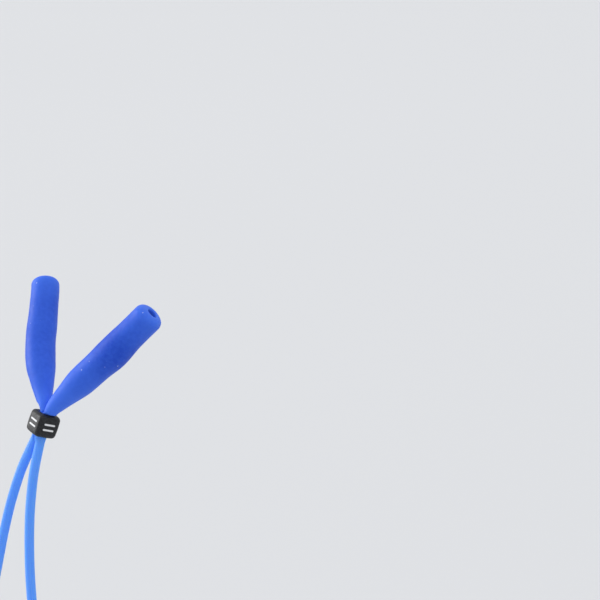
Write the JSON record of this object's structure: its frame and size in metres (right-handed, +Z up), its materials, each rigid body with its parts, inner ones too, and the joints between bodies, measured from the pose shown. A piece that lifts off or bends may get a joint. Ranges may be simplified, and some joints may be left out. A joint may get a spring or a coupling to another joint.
{
  "type": "eyeglasses retainer strap",
  "caption": "Soft silicone glasses strap: stretchy temple sleeves meet in a V at a sliding cube bead, with a round cord hanging below it as a loop.",
  "frame": {"origin": "centre of the right temple sleeve's mouth, where a glasses temple goes in", "axes": "+X to the wearer's right, +Y forward as the wearer faces, +Z up; the strap is stored hanging, as it does from a worn pair of glasses"},
  "size_m": [0.0588, 0.035, 0.1789],
  "materials": {
    "sleeve_silicone": "matte royal blue silicone with a soft sheen",
    "cord_silicone": "matte lighter blue silicone, slightly translucent",
    "bead_plastic": "satin black moulded acrylic",
    "stripe_fill": "matte white paint"
  },
  "bodies": {
    "right_sleeve": {"right_temple_sleeve": "sleeve_silicone", "right_neck": "sleeve_silicone"},
    "cord": {"right_squeezed_strand": "cord_silicone", "left_squeezed_strand": "cord_silicone", "cord_loop": "cord_silicone"},
    "left_sleeve": {"left_temple_sleeve": "sleeve_silicone", "left_neck": "sleeve_silicone"},
    "slider": {"slider_bead": "bead_plastic", "bead_stripes": "stripe_fill"}
  },
  "joints": [
    {"name": "right_neck_flex", "type": "hinge", "parent": "right_sleeve", "child": "cord", "pos_m": [-0.02339, -0.01684, -0.02859], "axis": [0, -0.8616, 0.5075], "range_deg": [-20, 35], "stiffness_Nm_per_rad": 0.01, "deforming": ["right_neck", "right_squeezed_strand"]},
    {"name": "left_neck_flex", "type": "hinge", "parent": "cord", "child": "left_sleeve", "pos_m": [-0.028, -0.01684, -0.02859], "axis": [0, -0.8616, 0.5075], "range_deg": [-20, 35], "stiffness_Nm_per_rad": 0.01, "deforming": ["left_neck", "left_squeezed_strand"]},
    {"name": "bead_slide", "type": "slide", "parent": "cord", "child": "slider", "axis": [-0.1577, -0.2957, -0.9422], "range_m": [0, 0.045], "deforming": ["cord_loop"]}
  ]
}
